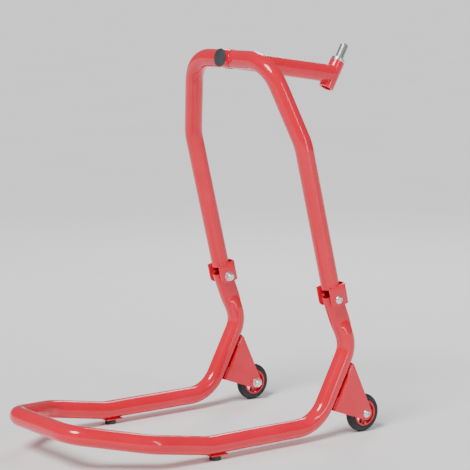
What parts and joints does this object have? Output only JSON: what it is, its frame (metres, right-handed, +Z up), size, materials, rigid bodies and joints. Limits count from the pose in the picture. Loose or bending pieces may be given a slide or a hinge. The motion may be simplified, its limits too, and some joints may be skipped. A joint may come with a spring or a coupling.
{
  "type": "motorcycle paddock stand",
  "caption": "Red tubular steel stand that lifts a motorcycle by its steering head, with a hinged arch, a sleeve and pin on a rearward arm, castors and rubber feet.",
  "frame": {"origin": "centre of the bounding box in plan, on the floor under the feet and castors", "axes": "+X is the stand's left side, +Y runs from the handle to the castors, +Z is up"},
  "size_m": [0.436, 0.7984, 0.8006],
  "materials": {
    "red_powder_coat": "gloss",
    "red_hub": "gloss",
    "tyre_rubber": "matte",
    "foot_rubber": "matte",
    "plug_plastic": "matte",
    "zinc": "satin",
    "pin_steel": "satin"
  },
  "bodies": {
    "base": {"base_tube": "red_powder_coat", "foot_plate_left": "red_powder_coat", "foot_plate_right": "red_powder_coat", "rubber_foot_left": "foot_rubber", "rubber_foot_right": "foot_rubber", "foot_screws": "zinc", "castor_bracket_left": "red_powder_coat", "castor_bracket_right": "red_powder_coat", "axle_bolts": "zinc", "axle_nuts": "zinc", "axle_washers": "zinc", "axle_spacers": "zinc"},
    "castor_left": {"castor_tyre_left": "tyre_rubber", "castor_hub_left": "red_hub", "castor_bush_left": "zinc"},
    "castor_right": {"castor_tyre_right": "tyre_rubber", "castor_hub_right": "red_hub", "castor_bush_right": "zinc"},
    "arch": {"hinge_channel_left": "red_powder_coat", "hinge_channel_right": "red_powder_coat", "hinge_bolts": "zinc", "hinge_nuts": "zinc", "hinge_washers": "zinc", "hinge_bushes": "zinc", "arch_left": "red_powder_coat", "arch_right": "red_powder_coat", "lift_arm": "red_powder_coat", "arm_plug": "plug_plastic", "pin_sleeve": "red_powder_coat"},
    "pin": {"lifting_pin": "pin_steel"},
    "pin_ring": {"pin_washer": "zinc"}
  },
  "joints": [
    {"name": "arch_tilt", "type": "hinge", "parent": "base", "child": "arch", "pos_m": [0, 0.20195, 0.29034], "axis": [1, 0, 0], "range_deg": [0, 15]},
    {"name": "castor_left_spin", "type": "hinge", "parent": "base", "child": "castor_left", "pos_m": [0.191, 0.28116, 0.04], "axis": [1, 0, 0], "continuous": true},
    {"name": "castor_right_spin", "type": "hinge", "parent": "base", "child": "castor_right", "pos_m": [-0.191, 0.28116, 0.04], "axis": [1, 0, 0], "continuous": true},
    {"name": "pin_turn", "type": "hinge", "parent": "arch", "child": "pin_ring", "pos_m": [0, 0.37188, 0.76122], "axis": [0, 0.5, 0.866], "continuous": true},
    {"name": "pin_lift", "type": "slide", "parent": "pin_ring", "child": "pin", "axis": [0, 0.5, 0.866], "range_m": [0, 0.04]}
  ]
}
